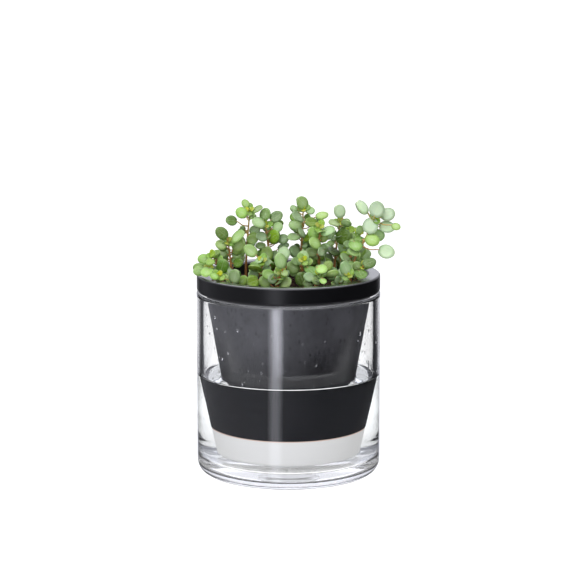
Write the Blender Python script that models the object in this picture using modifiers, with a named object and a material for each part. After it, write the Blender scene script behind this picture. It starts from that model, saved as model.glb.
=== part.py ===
"""Self-watering planter: a tapered clay pot that hangs by its rim in a glass vessel of water.

The pot's foot is bare, porous clay. It draws water from the vessel up to the soil. The rest of the pot is
glazed. Metres, +Z up, origin at the centre of the face that the vessel stands on, front towards -Y.
"""

import math

import bmesh
import bpy
from mathutils import Matrix, Vector

CLEARANCE = 0.0003  # between pieces that touch
TURNED_STEPS = 48  # round a turned piece

# Glass vessel
VESSEL_RADIUS = 0.0590
VESSEL_HEIGHT = 0.1181
GLASS_WALL = 0.0044
GLASS_BASE = 0.0105
VESSEL_FOOT_ROUND = 0.0090
VESSEL_FLOOR_ROUND = 0.0060

# Clay pot
FLANGE_SETBACK = 0.0002  # how far the flange's side lies inside the glass
FLANGE_HEIGHT = 0.0116
FLANGE_UNDER_ROUND = 0.0025
LIP_WIDTH = 0.0083
LIP_OUTER_ROUND = 0.0014
LIP_INNER_ROUND = 0.0020
POT_PLAY = 0.0015  # between the pot's side and the glass, at the glass's rim
POT_TAPER = 0.0191  # the foot's radius is this much less than the top's
POT_LIFT_OFF = 0.0015  # water under the foot
POT_WALL = 0.0034
POT_FLOOR = 0.0038
POT_FOOT_ROUND = 0.0018
BARE_CLAY_HEIGHT = 0.0170
GLAZE_THICKNESS = 0.0006
GLAZE_INSIDE = 0.0100  # how far the glaze runs down inside the mouth

# What fills it
WATER_DEPTH = 0.0535
SOIL_DROP = 0.0075  # soil below the lip, at the wall
SOIL_CROWN = 0.0015

# Plants
STEM_RADIUS = 0.0008
STALK_RADIUS = 0.00035
LEAF_HALF_THICKNESS = 0.00045
ROOT_DEPTH = 0.0090
STEM_RISE = 0.0015  # straight stretch above the soil
STEM_STEPS = 5
STEM_BEND_LOW = 0.40  # share of a stem's length that its foot keeps upright
STEM_BEND_HIGH = 0.24  # and that its tip keeps straight
STEM_SIDES = 6
STALK_SIDES = 3
LEAF_SIDES = 8
LEAF_GAP = 0.0005  # between leaves, stalks and stems
LEAF_GROWTH = 1.1  # leaves turn a little away from the view, so they are larger than it shows
LEAF_FORWARD = 0.0030  # a leaf hangs this far in front of its stem
LEAF_SPREAD = 0.0025  # and up to this much nearer or further
GOLDEN_ANGLE = 2.39996
LAYOUT_MOUTH = 50.5  # radius of the mouth that the layout is drawn for
SIGHT_SLOPE = 0.18  # the layout is drawn as seen from a little above: height lost for each unit of depth
GIVE_WAY_STEP = 0.0010
GIVE_WAY_STEPS = 28
GIVE_WAY_LIFTS = 4
NEAREST_ROUNDS = 16

# How strongly a leaf turns up, to the front or the back, away from the middle, astray and square to its stalk
LEAF_UP = 0.60
LEAF_TO_FRONT = Vector((0, -0.8, 0))
LEAF_TO_BACK = Vector((0, 0.7, 0))
LEAF_OUTWARD = 0.25
LEAF_ASTRAY = 0.28
LEAF_SQUARE = 0.60
STALK_INTO_LEAF = 0.50  # share of the leaf's radius that its stalk reaches in from the edge

# Levels that follow from the sizes
GLASS_BORE = VESSEL_RADIUS - GLASS_WALL
FLANGE_Z = VESSEL_HEIGHT + CLEARANCE
LIP_Z = FLANGE_Z + FLANGE_HEIGHT
FLANGE_RADIUS = VESSEL_RADIUS - FLANGE_SETBACK
MOUTH_RADIUS = FLANGE_RADIUS - LIP_WIDTH
POT_TOP_RADIUS = GLASS_BORE - POT_PLAY
POT_FOOT_RADIUS = POT_TOP_RADIUS - POT_TAPER
FOOT_Z = GLASS_BASE + POT_LIFT_OFF
POT_FLOOR_Z = FOOT_Z + POT_FLOOR
BARE_CLAY_Z = FOOT_Z + BARE_CLAY_HEIGHT
WATER_Z = GLASS_BASE + WATER_DEPTH
SOIL_Z = LIP_Z - SOIL_DROP
LAYOUT_UNIT = MOUTH_RADIUS / LAYOUT_MOUTH  # the plants grow and shrink with the pot

# Each plant: where it is rooted, as shares of the soil's radius, its tip and the leaves that the front view
# shows. Tip and leaves are in millimetres on this pot, from the middle of the mouth: across, height over the
# lip and, for the tip, depth. A leaf's third number is its radius.
PLANTS = {
    "plant_tall_left": {
        "root": (-0.56, 0.30),
        "tip": (-25, 40, 14),
        "leaves": [
            (-27.5, 45, 2.8), (-20, 41.5, 3.6), (-30, 39, 3.6), (-36.5, 34, 3.4), (-29.5, 29, 2.0),
            (-23.5, 21.5, 3.6), (-23, 36.5, 2.4),
        ],
    },
    "plant_left": {
        "root": (-0.74, 0.08),
        "tip": (-38.5, 19, 4),
        "leaves": [
            (-42.5, 25.5, 4.2), (-32.5, 23.5, 4.8), (-43, 18, 3.4), (-41.5, 13, 4.3), (-32, 17.5, 4.5),
            (-32.5, 9, 4.9),
        ],
    },
    "plant_far_left": {
        "root": (-0.86, -0.12),
        "tip": (-48, 10.5, -4),
        "leaves": [(-53.5, 8.5, 4.0), (-48.5, 12, 2.4), (-45.5, 10.5, 2.4), (-49.5, 7, 3.4)],
    },
    "plant_over_rim": {
        "root": (-0.82, -0.32),
        "tip": (-50.5, 2, -13),
        "leaves": [(-56.5, 1, 3.8), (-51.5, 0.5, 4.2), (-42, 3.5, 4.4), (-46.5, 4.5, 3.2)],
    },
    "plant_front_left": {
        "root": (-0.66, -0.52),
        "tip": (-44, -3, -26),
        "leaves": [
            (-46.5, -2.5, 2.8), (-42.5, -3.5, 3.0), (-34, -3, 4.4), (-38.5, -4.5, 3.4), (-29, -5.5, 3.6),
        ],
    },
    "plant_second": {
        "root": (-0.24, 0.26),
        "tip": (-14.5, 30, 12),
        "leaves": [
            (-19, 32.5, 4.3), (-15, 36, 3.8), (-14, 29.5, 2.8), (-8, 36.5, 4.1), (-9.5, 23.5, 4.3),
            (-17, 23.5, 3.5), (-7, 29.5, 3.5), (-14, 12, 4.5), (-3.5, 22, 3.3), (-3.5, 17, 3.7),
        ],
    },
    "plant_mid_left": {
        "root": (-0.36, -0.20),
        "tip": (-16.5, 7, -13),
        "leaves": [
            (-21, 2.5, 4.4), (-18.5, 8, 2.6), (-14.5, 7.5, 2.6), (-24, 14, 4.4), (-16.5, 3, 2.6),
            (-22.5, -6, 4.3),
        ],
    },
    "plant_front": {
        "root": (-0.16, -0.56),
        "tip": (-4.5, -1, -30),
        "leaves": [
            (-5, 7, 4.6), (-12.5, -1.5, 3.8), (-7, -0.5, 2.5), (-2.5, -0.5, 2.5), (-2, -7, 3.9),
            (-14.5, -6, 3.7), (-3, 12, 3.7),
        ],
    },
    "plant_tallest": {
        "root": (0.16, 0.34),
        "tip": (9.5, 41, 16),
        "leaves": [
            (9, 45.5, 4.4), (14, 41, 3.2), (3.5, 42, 2.4), (6, 36.5, 4.6), (4.5, 31, 4.0), (14.5, 33, 3.8),
            (21.5, 37.5, 3.8), (19, 32.5, 3.8), (8.5, 26, 3.6), (3.5, 23.5, 4.1), (4.5, 14, 4.0),
        ],
    },
    "plant_middle": {
        "root": (0.40, 0.12),
        "tip": (20, 29, 4),
        "leaves": [
            (16, 25.5, 4.4), (25, 27, 4.4), (17, 19, 4.5), (22.5, 18, 3.9), (15, 13, 3.6), (21, 13.5, 3.4),
        ],
    },
    "plant_mid_front": {
        "root": (0.16, -0.28),
        "tip": (9, 7, -17),
        "leaves": [(3, 3, 4.3), (9, 9, 4.4), (8.5, -4.5, 4.2), (15, 1, 4.8)],
    },
    "plant_right": {
        "root": (0.60, 0.30),
        "tip": (33, 32, 13),
        "leaves": [
            (33, 40, 4.0), (29.5, 32.5, 3.7), (37, 32, 3.8), (33.5, 29.5, 2.4), (35, 23.5, 4.9),
            (39.5, 28, 3.2), (29, 14, 4.0), (25.5, 9, 3.8),
        ],
    },
    "plant_mid_right": {
        "root": (0.74, 0.02),
        "tip": (45, 25, 2),
        "leaves": [(45.5, 27.5, 3.4), (42.5, 17.5, 4.8), (46, 14, 3.6), (37, 9, 4.3), (41.5, 10.5, 3.8)],
    },
    "plant_far_right": {
        "root": (0.80, -0.16),
        "tip": (55, 34, -6),
        "leaves": [
            (47, 42, 4.6), (56, 40.5, 4.8), (63, 37.5, 4.3), (55.5, 34.5, 2.6), (52, 30, 4.8),
            (62.5, 29.5, 4.7), (68, 29.5, 2.8), (57, 24, 3.8), (53, 21, 4.4), (62, 13.5, 4.9),
        ],
    },
    "plant_right_rim": {
        "root": (0.84, -0.34),
        "tip": (47, 3, -17),
        "leaves": [(51, 6, 4.1), (45.5, -1, 4.2), (43.5, 4, 3.0)],
    },
    "plant_front_right": {
        "root": (0.62, -0.56),
        "tip": (37.5, -3, -29),
        "leaves": [
            (36, 2, 4.6), (36, -3.5, 2.4), (39.5, -3.5, 2.6), (32, -6, 3.4), (27.5, -1, 4.0),
        ],
    },
    "plant_front_mid": {
        "root": (0.34, -0.62),
        "tip": (19.5, -1, -33),
        "leaves": [(24.5, 4, 3.2), (20.5, 2, 3.5), (17.5, -5.5, 2.6), (21.5, -5.5, 2.4)],
    },
    "plant_back_left": {
        "root": (-0.20, 0.72),
        "tip": (-8, 8, 34),
        "leaves": [(-12, 8, 4.0), (-4, 9, 4.0), (-13, 4, 4.2), (-2, 4, 4.2)],
    },
    "plant_back": {
        "root": (0.24, 0.76),
        "tip": (16, 12, 36),
        "leaves": [(12, 12, 4.0), (20, 11, 4.0), (10, 7, 4.2), (22, 6, 4.2)],
    },
    "plant_back_right": {
        "root": (0.56, 0.62),
        "tip": (35, 9, 32),
        "leaves": [(31, 10, 4.0), (39, 9, 4.0), (28, 5, 4.2), (41, 4, 4.2)],
    },
    "plant_back_middle": {
        "root": (0.30, 0.52),
        "tip": (19, 24, 26),
        "leaves": [(15, 24, 3.8), (23, 24, 3.8), (13, 18, 4.2), (25, 17, 4.2), (16, 12, 4.2), (24, 11, 4.2)],
    },
    "plant_right_back": {
        "root": (0.80, 0.26),
        "tip": (42, 22, 13),
        "leaves": [(38, 22, 3.8), (46, 21, 3.8), (36, 16, 4.2), (49, 12, 4.2), (44, 8, 4.0)],
    },
}


# Outlines, as lists of (radius, height)


def arc(centre, radius, start, end, steps):
    """Points on a circle, from one angle to another, in degrees."""
    points = []
    for i in range(steps + 1):
        angle = math.radians(start + (end - start) * i / steps)
        points.append((centre[0] + radius * math.cos(angle), centre[1] + radius * math.sin(angle)))
    return points


def pot_side_radius(z):
    """Radius of the pot's outside below the flange."""
    return POT_FOOT_RADIUS + POT_TAPER * (z - FOOT_Z) / (FLANGE_Z - FOOT_Z)


def pot_bore_radius(z):
    """Radius of the pot's inside."""
    at_floor = pot_side_radius(POT_FLOOR_Z) - POT_WALL
    return at_floor + (MOUTH_RADIUS - at_floor) * (z - POT_FLOOR_Z) / (LIP_Z - POT_FLOOR_Z)


def vessel_outline():
    rim = GLASS_WALL / 2
    outline = [(0, GLASS_BASE)]
    outline += arc(
        (GLASS_BORE - VESSEL_FLOOR_ROUND, GLASS_BASE + VESSEL_FLOOR_ROUND), VESSEL_FLOOR_ROUND, -90, 0, 3
    )
    outline += arc((GLASS_BORE + rim, VESSEL_HEIGHT - rim), rim, 180, 0, 6)
    outline += arc(
        (VESSEL_RADIUS - VESSEL_FOOT_ROUND, VESSEL_FOOT_ROUND), VESSEL_FOOT_ROUND, 0, -90, 4
    )
    return outline + [(0, 0)]


def mouth_outline(inset):
    """The pot from inside the mouth over the lip and flange to the bare band, inset into the clay."""
    inside_z = LIP_Z - GLAZE_INSIDE
    lip_inner = (MOUTH_RADIUS + LIP_INNER_ROUND, LIP_Z - LIP_INNER_ROUND)
    lip_outer = (FLANGE_RADIUS - LIP_OUTER_ROUND, LIP_Z - LIP_OUTER_ROUND)
    under = (FLANGE_RADIUS - FLANGE_UNDER_ROUND, FLANGE_Z + FLANGE_UNDER_ROUND)
    outline = [(pot_bore_radius(inside_z) + inset, inside_z)]
    outline += arc(lip_inner, LIP_INNER_ROUND - inset, 180, 90, 2)
    outline += arc(lip_outer, LIP_OUTER_ROUND - inset, 90, 0, 2)
    outline += arc(under, FLANGE_UNDER_ROUND - inset, 0, -90, 3)
    outline.append((pot_side_radius(FLANGE_Z) - inset, FLANGE_Z + inset))
    outline.append((pot_side_radius(BARE_CLAY_Z) - inset, BARE_CLAY_Z))
    return outline


def glaze_outline():
    return mouth_outline(0) + mouth_outline(GLAZE_THICKNESS)[::-1]


def pot_outline():
    """The clay under the glaze, stepped out to the full outline where it is bare."""
    inside_z = LIP_Z - GLAZE_INSIDE - CLEARANCE
    band_z = BARE_CLAY_Z - CLEARANCE
    covered = mouth_outline(GLAZE_THICKNESS + CLEARANCE)
    covered[0] = (covered[0][0], inside_z)
    covered[-1] = (covered[-1][0], band_z)
    outline = [(0, POT_FLOOR_Z), (pot_bore_radius(POT_FLOOR_Z), POT_FLOOR_Z)]
    outline.append((pot_bore_radius(inside_z), inside_z))
    outline += covered
    outline.append((pot_side_radius(band_z), band_z))
    outline += arc(
        (POT_FOOT_RADIUS - POT_FOOT_ROUND, FOOT_Z + POT_FOOT_ROUND), POT_FOOT_ROUND, 0, -90, 2
    )
    return outline + [(0, FOOT_Z)]


def water_outline():
    """Water round the pot and under its foot."""
    bore = GLASS_BORE - CLEARANCE
    floor_round = VESSEL_FLOOR_ROUND - CLEARANCE
    outline = [(0, FOOT_Z - CLEARANCE)]
    outline += arc(
        (POT_FOOT_RADIUS - POT_FOOT_ROUND, FOOT_Z + POT_FOOT_ROUND), POT_FOOT_ROUND + CLEARANCE, -90, 0, 2
    )
    outline.append((pot_side_radius(WATER_Z) + CLEARANCE, WATER_Z))
    outline.append((bore, WATER_Z))
    outline += arc(
        (GLASS_BORE - VESSEL_FLOOR_ROUND, GLASS_BASE + VESSEL_FLOOR_ROUND), floor_round, 0, -90, 3
    )
    return outline + [(0, GLASS_BASE + CLEARANCE)]


def soil_height(radius):
    """Top of the soil, a low dome."""
    share = radius / pot_bore_radius(SOIL_Z)
    return SOIL_Z + SOIL_CROWN * (1 - share * share)


def soil_outline():
    rim = pot_bore_radius(SOIL_Z) - CLEARANCE
    steps = 4
    outline = [(rim * i / steps, soil_height(rim * i / steps)) for i in range(steps + 1)]
    floor_z = POT_FLOOR_Z + CLEARANCE
    outline.append((pot_bore_radius(floor_z) - CLEARANCE, floor_z))
    return outline + [(0, floor_z)]


# Objects


def clear_scene():
    for thing in list(bpy.data.objects):
        bpy.data.objects.remove(thing, do_unlink=True)


def new_collection(name):
    collection = bpy.data.collections.new(name)
    bpy.context.scene.collection.children.link(collection)
    return collection


def finish_material(name, colour, roughness, metallic=0.0, transmission=0.0):
    made = bpy.data.materials.new(name)
    made.use_nodes = True
    shader = made.node_tree.nodes["Principled BSDF"]
    shader.inputs["Base Color"].default_value = (*colour, 1.0)
    shader.inputs["Roughness"].default_value = roughness
    shader.inputs["Metallic"].default_value = metallic
    shader.inputs["Transmission Weight"].default_value = transmission
    return made


def add_object(name, mesh, collection, material, parent=None, place=(0, 0, 0)):
    made = bpy.data.objects.new(name, mesh)
    collection.objects.link(made)
    made.parent = parent
    made.location = Vector(place) - (parent.location if parent else Vector())
    if material:
        mesh.materials.append(material)
    return made


def turned(name, outline, closed, collection, material, parent=None):
    """A profile turned round the Z axis. It runs down the outer side."""
    shape = bmesh.new()
    corners = [shape.verts.new((radius, 0, z)) for radius, z in outline]
    for start, end in zip(corners, corners[1:]):
        shape.edges.new((start, end))
    if closed:
        shape.edges.new((corners[-1], corners[0]))
    mesh = bpy.data.meshes.new(name)
    shape.to_mesh(mesh)
    shape.free()
    made = add_object(name, mesh, collection, material, parent)
    screw = made.modifiers.new("turned", "SCREW")
    screw.axis = "Z"
    screw.steps = screw.render_steps = TURNED_STEPS
    screw.use_merge_vertices = True
    screw.merge_threshold = 0.00001
    screw.use_smooth_shade = True
    return made


def hide_cutter(cutter):
    cutter.hide_render = True
    cutter.display_type = "WIRE"


def join_or_cut(target, other, operation):
    boolean = target.modifiers.new(other.name, "BOOLEAN")
    boolean.operation = operation
    boolean.solver = "EXACT"
    boolean.use_self = True
    boolean.object = other


def smooth(mesh):
    mesh.shade_smooth()
    mesh.set_sharp_from_angle(angle=math.radians(35))


# Plants


class Blade:
    """A round leaf, as a flat disc."""

    def __init__(self, centre, normal, radius):
        self.centre = centre
        self.normal = normal
        self.radius = radius
        self.half = LEAF_HALF_THICKNESS

    def nearest(self, point):
        away = point - self.centre
        away -= self.normal * away.dot(self.normal)
        if away.length > self.radius:
            away *= self.radius / away.length
        return self.centre + away


class Rod:
    """A straight stretch of a stem, or a leaf's stalk."""

    def __init__(self, start, end, half):
        self.start = start
        self.end = end
        self.half = half
        self.centre = (start + end) / 2
        self.radius = (end - start).length / 2

    def nearest(self, point):
        along = self.end - self.start
        share = (point - self.start).dot(along) / along.length_squared
        return self.start + along * min(1, max(0, share))


def gap_between(first, second):
    """Free space between two blades or rods, by going from each one's nearest point to the other's."""
    between_balls = (first.centre - second.centre).length - first.radius - second.radius
    if between_balls > first.half + second.half + LEAF_GAP:
        return between_balls
    here = first.centre
    for _ in range(NEAREST_ROUNDS):
        there = second.nearest(here)
        here = first.nearest(there)
    return (here - there).length - first.half - second.half


def clear_of_pot(blade):
    """Whether a leaf's edge stays over the soil, and over or beside the lip."""
    side = blade.normal.orthogonal().normalized()
    for i in range(LEAF_SIDES * 2):
        turn = Matrix.Rotation(math.tau * i / (LEAF_SIDES * 2), 3, blade.normal)
        point = blade.centre + turn @ side * blade.radius
        radius = math.hypot(point.x, point.y)
        if radius < MOUTH_RADIUS - 2 * LEAF_GAP:
            lowest = soil_height(radius)
        elif radius < FLANGE_RADIUS + 2 * LEAF_GAP:
            lowest = LIP_Z
        else:
            lowest = VESSEL_HEIGHT
        if point.z < lowest + 2 * LEAF_GAP:
            return False
    return True


def from_layout(across, height, depth):
    """A point of the layout, in metres. What is further back is lower than the front view shows it."""
    return Vector((across, depth, height - SIGHT_SLOPE * depth)) * LAYOUT_UNIT + Vector((0, 0, LIP_Z))


def stem_path(plant):
    """Points up a stem: straight out of the soil, then a curve to the tip."""
    soil_radius = pot_bore_radius(SOIL_Z)
    root = Vector((plant["root"][0] * soil_radius, plant["root"][1] * soil_radius, 0))
    root.z = soil_height(math.hypot(root.x, root.y)) + STEM_RISE
    tip = from_layout(*plant["tip"])
    bend_low = root + Vector((0, 0, (tip - root).length * STEM_BEND_LOW))
    bend_high = tip - (tip - root) * STEM_BEND_HIGH
    path = [root - Vector((0, 0, STEM_RISE + ROOT_DEPTH))]
    for i in range(STEM_STEPS):
        t = i / (STEM_STEPS - 1)
        path.append(
            root * (1 - t) ** 3
            + bend_low * 3 * t * (1 - t) ** 2
            + bend_high * 3 * t * t * (1 - t)
            + tip * t ** 3
        )
    return path


def stem_rods(path):
    return [Rod(start, end, STEM_RADIUS) for start, end in zip(path, path[1:])]


def leaf_at(path, centre, radius, facing):
    """A leaf and its stalk, from the stem's nearest point a little lower than the leaf."""
    low = centre - Vector((0, 0, radius))
    above_soil = stem_rods(path)[1:]
    node = min((rod.nearest(low) for rod in above_soil), key=lambda point: (point - low).length)
    reach = (centre - node).normalized()
    normal = (facing - reach * facing.dot(reach) * LEAF_SQUARE).normalized()
    along = reach - normal * reach.dot(normal)
    stalk_end = centre - along * radius * (1 - STALK_INTO_LEAF)
    return Blade(centre, normal, radius), Rod(node, stalk_end, STALK_RADIUS)


def leaf_facing(centre, towards, number):
    """Leaves look up, outwards and to one side, which is the front or the back, each a little differently."""
    outward = Vector((centre.x, centre.y, 0)).normalized()
    turn = number * GOLDEN_ANGLE
    astray = Vector((math.cos(turn), 0, math.sin(turn))) * LEAF_ASTRAY
    return (Vector((0, 0, LEAF_UP)) + outward * LEAF_OUTWARD + towards + astray).normalized()


def apart(piece, others):
    return all(gap_between(piece, other) > LEAF_GAP for other in others)


def give_way(path, centre, radius, towards, number, own, others):
    """The leaf nearest to its place in the layout that touches no plant but its own stem, if there is one."""
    own_blades = [blade for blade, stalk in own]
    own_rods = [stalk for blade, stalk in own] + stem_rods(path)
    line_of_sight = Vector((0, 1, -SIGHT_SLOPE)) * GIVE_WAY_STEP
    for lift in range(GIVE_WAY_LIFTS):
        for i in range(GIVE_WAY_STEPS):
            steps = (i + 1) // 2 * (1 if i % 2 else -1)
            place = centre + line_of_sight * steps + Vector((0, 0, lift * GIVE_WAY_STEP))
            blade, stalk = leaf_at(path, place, radius, leaf_facing(place, towards, number))
            if (
                clear_of_pot(blade)
                and apart(blade, own_blades + own_rods + others)
                and apart(stalk, own_blades + others)
            ):
                return blade, stalk
    return None


def grow_plants():
    """The stems and leaves of every plant, placed so that no two plants touch."""
    paths = {name: stem_path(plant) for name, plant in PLANTS.items()}
    stems = {name: stem_rods(path) for name, path in paths.items()}
    grown = {name: [] for name in PLANTS}
    for name, plant in PLANTS.items():
        others = [rod for other, rods in stems.items() if other != name for rod in rods]
        for other in grown:
            if other != name:
                others += [piece for pair in grown[other] for piece in pair]
        for number, (across, height, radius) in enumerate(plant["leaves"]):
            path = paths[name]
            level = from_layout(across, height, 0).z
            beside = min(path[1:], key=lambda point: abs(point.z - level))
            forward = LEAF_FORWARD + LEAF_SPREAD * math.sin(number * GOLDEN_ANGLE + across)
            depths = [beside.y - forward]
            if number % 2 == 0:
                depths.append(beside.y + forward)
            for depth, side in zip(depths, (LEAF_TO_FRONT, LEAF_TO_BACK)):
                place = from_layout(across, height, depth / LAYOUT_UNIT)
                size = radius * LEAF_GROWTH * LAYOUT_UNIT
                leaf = give_way(path, place, size, side, number, grown[name], others)
                if leaf:
                    grown[name].append(leaf)
    return paths, grown


def add_rod(shape, rod, sides):
    along = rod.end - rod.start
    turn = along.to_track_quat("Z", "Y").to_matrix().to_4x4()
    bmesh.ops.create_cone(
        shape,
        cap_ends=True,
        segments=sides,
        radius1=rod.half,
        radius2=rod.half,
        depth=along.length,
        matrix=Matrix.Translation(rod.centre) @ turn,
    )


def add_blade(shape, blade):
    turn = blade.normal.to_track_quat("Z", "Y").to_matrix().to_4x4()
    size = Matrix.Diagonal((blade.radius, blade.radius, blade.half, 1))
    bmesh.ops.create_uvsphere(
        shape,
        u_segments=LEAF_SIDES,
        v_segments=2,
        radius=1,
        matrix=Matrix.Translation(blade.centre) @ turn @ size,
    )


def stem_mesh(name, path):
    """A stem as a tube with closed ends."""
    curve = bpy.data.curves.new(name, "CURVE")
    curve.dimensions = "3D"
    curve.bevel_depth = STEM_RADIUS
    curve.bevel_resolution = (STEM_SIDES - 4) // 2
    curve.use_fill_caps = True
    spline = curve.splines.new("POLY")
    spline.points.add(len(path) - 1)
    for point, place in zip(spline.points, path):
        point.co = (*(place - path[0]), 1)
    carrier = bpy.data.objects.new(name + "_curve", curve)
    bpy.context.scene.collection.objects.link(carrier)
    evaluated = carrier.evaluated_get(bpy.context.evaluated_depsgraph_get())
    mesh = bpy.data.meshes.new_from_object(evaluated)
    mesh.name = name
    bpy.data.objects.remove(carrier, do_unlink=True)
    shape = bmesh.new()
    shape.from_mesh(mesh)
    bmesh.ops.remove_doubles(shape, verts=shape.verts, dist=0.00001)
    shape.to_mesh(mesh)
    shape.free()
    smooth(mesh)
    return mesh


def foliage_mesh(name, root, leaves):
    shape = bmesh.new()
    for blade, stalk in leaves:
        add_rod(shape, stalk, STALK_SIDES)
        add_blade(shape, blade)
    bmesh.ops.translate(shape, verts=shape.verts, vec=-root)
    mesh = bpy.data.meshes.new(name)
    shape.to_mesh(mesh)
    shape.free()
    smooth(mesh)
    return mesh


def plant_object(name, stem, root, leaves, collection, cutters, material, parent):
    """One plant: its stem, with the leaves joined on."""
    made = add_object(name, stem, collection, material, parent, root)
    leaves_name = name + "_leaves"
    leaves_mesh = foliage_mesh(leaves_name, root, leaves)
    foliage = add_object(leaves_name, leaves_mesh, cutters, material, parent, root)
    hide_cutter(foliage)
    join_or_cut(made, foliage, "UNION")
    return made


def planting_holes(paths, cutters, parent):
    """A hole in the soil for each stem."""
    sides = 8
    radius = (STEM_RADIUS + CLEARANCE) / math.cos(math.pi / sides)
    shape = bmesh.new()
    for path in paths.values():
        bottom = path[0].z - CLEARANCE
        top = path[1].z + STEM_RISE
        bmesh.ops.create_cone(
            shape,
            cap_ends=True,
            segments=sides,
            radius1=radius,
            radius2=radius,
            depth=top - bottom,
            matrix=Matrix.Translation((path[0].x, path[0].y, (top + bottom) / 2)),
        )
    mesh = bpy.data.meshes.new("planting_holes")
    shape.to_mesh(mesh)
    shape.free()
    holes = add_object("planting_holes", mesh, cutters, None, parent)
    hide_cutter(holes)
    return holes


def build():
    clear_scene()
    pieces = new_collection("self_watering_planter")
    cutters = new_collection("cutters")

    glass = finish_material("clear_glass", (0.93, 0.95, 0.96), 0.02, transmission=1.0)
    water = finish_material("water", (0.90, 0.95, 0.97), 0.02, transmission=1.0)
    clay = finish_material("bare_clay", (0.80, 0.78, 0.74), 0.85)
    glaze = finish_material("charcoal_glaze", (0.022, 0.022, 0.026), 0.42)
    soil = finish_material("soil", (0.045, 0.025, 0.016), 0.95)
    leaf = finish_material("leaf", (0.22, 0.40, 0.17), 0.50)

    turned("glass_vessel", vessel_outline(), False, pieces, glass)
    turned("water", water_outline(), False, pieces, water)

    lift_axis = bpy.data.objects.new("pot_lift_axis", None)
    lift_axis.location = (0, 0, FLANGE_Z)
    pieces.objects.link(lift_axis)

    turned("clay_pot", pot_outline(), False, pieces, clay, lift_axis)
    turned("pot_glaze", glaze_outline(), True, pieces, glaze, lift_axis)
    soil_fill = turned("potting_soil", soil_outline(), False, pieces, soil, lift_axis)

    paths, grown = grow_plants()
    stems = {name: stem_mesh(name, path) for name, path in paths.items()}
    join_or_cut(soil_fill, planting_holes(paths, cutters, lift_axis), "DIFFERENCE")
    for name, path in paths.items():
        plant_object(name, stems[name], path[0], grown[name], pieces, cutters, leaf, lift_axis)


build()
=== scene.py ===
import math
import random

import bmesh
import bpy
from mathutils import Matrix, Vector


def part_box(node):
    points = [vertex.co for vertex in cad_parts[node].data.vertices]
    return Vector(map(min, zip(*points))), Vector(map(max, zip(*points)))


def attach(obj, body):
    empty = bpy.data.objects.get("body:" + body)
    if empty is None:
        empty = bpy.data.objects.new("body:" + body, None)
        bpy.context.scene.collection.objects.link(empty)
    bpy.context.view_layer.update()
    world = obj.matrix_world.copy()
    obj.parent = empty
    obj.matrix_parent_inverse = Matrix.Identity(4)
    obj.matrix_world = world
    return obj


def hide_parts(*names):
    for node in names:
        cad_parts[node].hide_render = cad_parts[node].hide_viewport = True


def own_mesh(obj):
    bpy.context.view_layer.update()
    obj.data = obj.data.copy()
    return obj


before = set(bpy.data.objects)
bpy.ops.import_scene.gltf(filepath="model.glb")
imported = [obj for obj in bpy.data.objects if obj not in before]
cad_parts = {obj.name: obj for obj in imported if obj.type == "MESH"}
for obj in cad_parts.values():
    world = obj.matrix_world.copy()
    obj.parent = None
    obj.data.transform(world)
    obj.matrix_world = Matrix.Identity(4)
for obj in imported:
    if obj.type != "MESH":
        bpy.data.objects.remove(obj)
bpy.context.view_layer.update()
mm = 0.001


# Beginning, copying and joining shapes

def begin(primitive, **settings):
    # an operator acts on all that is selected, so everything else is deselected first
    bpy.ops.object.select_all(action="DESELECT")
    primitive(location=(0, 0, 0), **settings)
    return bpy.context.object


def copied(shape):
    # a copy with its own mesh
    made = shape.copy()
    made.data = shape.data.copy()
    bpy.context.scene.collection.objects.link(made)
    return made


def join(pieces):
    # into the first piece, which ends at the origin, unturned and unscaled
    bpy.ops.object.select_all(action="DESELECT")
    for piece in pieces:
        piece.select_set(True)
    bpy.context.view_layer.objects.active = pieces[0]
    bpy.ops.object.join()
    bpy.ops.object.transform_apply(location=True, rotation=True, scale=True)


# The camera and the studio

camera = {
    "target": (-0.0003, 0.0, 0.120),
    "distance": 1.6,
    "height": 10.2,      # degrees over the horizon
    "lens": 155.9,       # millimetres
    "farthest": 100.0,
}

studio = {
    "roomLight": 0.70,       # what the room gives to matt surfaces
    "roomLeft": 0.34,        # what gloss and glass see of the room
    "roomRight": 0.02,
    "roomSides": 0.03,       # dark beside the white behind the object
    "roomBelow": 0.85,
    "roomBack": 1.0,
    "roomTop": 4.0,
    "roomTint": (0.90, 0.91, 1.0),
    "floorColour": (0.90, 0.90, 0.90),
    "floorGlow": 0.52,
    "floorGlowInGlass": 0.54,
    "floorSize": 60.0,
    "floorMirrored": (0.075, 0.16),     # metres out, over which mirrors in the glass lose sight of it
    "floorMirroredBehind": 0.13,        # this much further behind the object
    "paneColour": (0.99, 0.99, 0.99),   # light that passes the glass and the water
    "stripTurn": -16.0,      # degrees round from the camera
    "stripDistance": 0.80,
    "stripWidth": 0.30,
    "stripHeight": 1.6,
    "stripMiddle": 0.06,
    "stripLight": 2.9,
    "stripTop": 6.0,         # its bright top, as gloss and glass see it
    "topTurn": -20.0,
    "topRise": 62.0,         # degrees over the horizon
    "topDistance": 0.9,
    "topSize": 0.7,
    "topPower": 3.0,
}


def outTo(turn, rise):
    # the direction that lies these degrees round from the camera's side, and up
    turn, rise = math.radians(turn), math.radians(rise)
    return Vector((math.sin(turn) * math.cos(rise), -math.cos(turn) * math.cos(rise), math.sin(rise)))


def addCamera():
    lens = bpy.data.cameras.new("camera")
    lens.lens = camera["lens"]
    lens.clip_end = camera["farthest"]
    eye = bpy.data.objects.new("camera", lens)
    bpy.context.scene.collection.objects.link(eye)
    away = outTo(0, camera["height"])
    eye.location = Vector(camera["target"]) + away * camera["distance"]
    eye.rotation_euler = (-away).to_track_quat("-Z", "Y").to_euler()
    bpy.context.scene.camera = eye


# Shader wires: one class for the maths, one method for every other node

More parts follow.
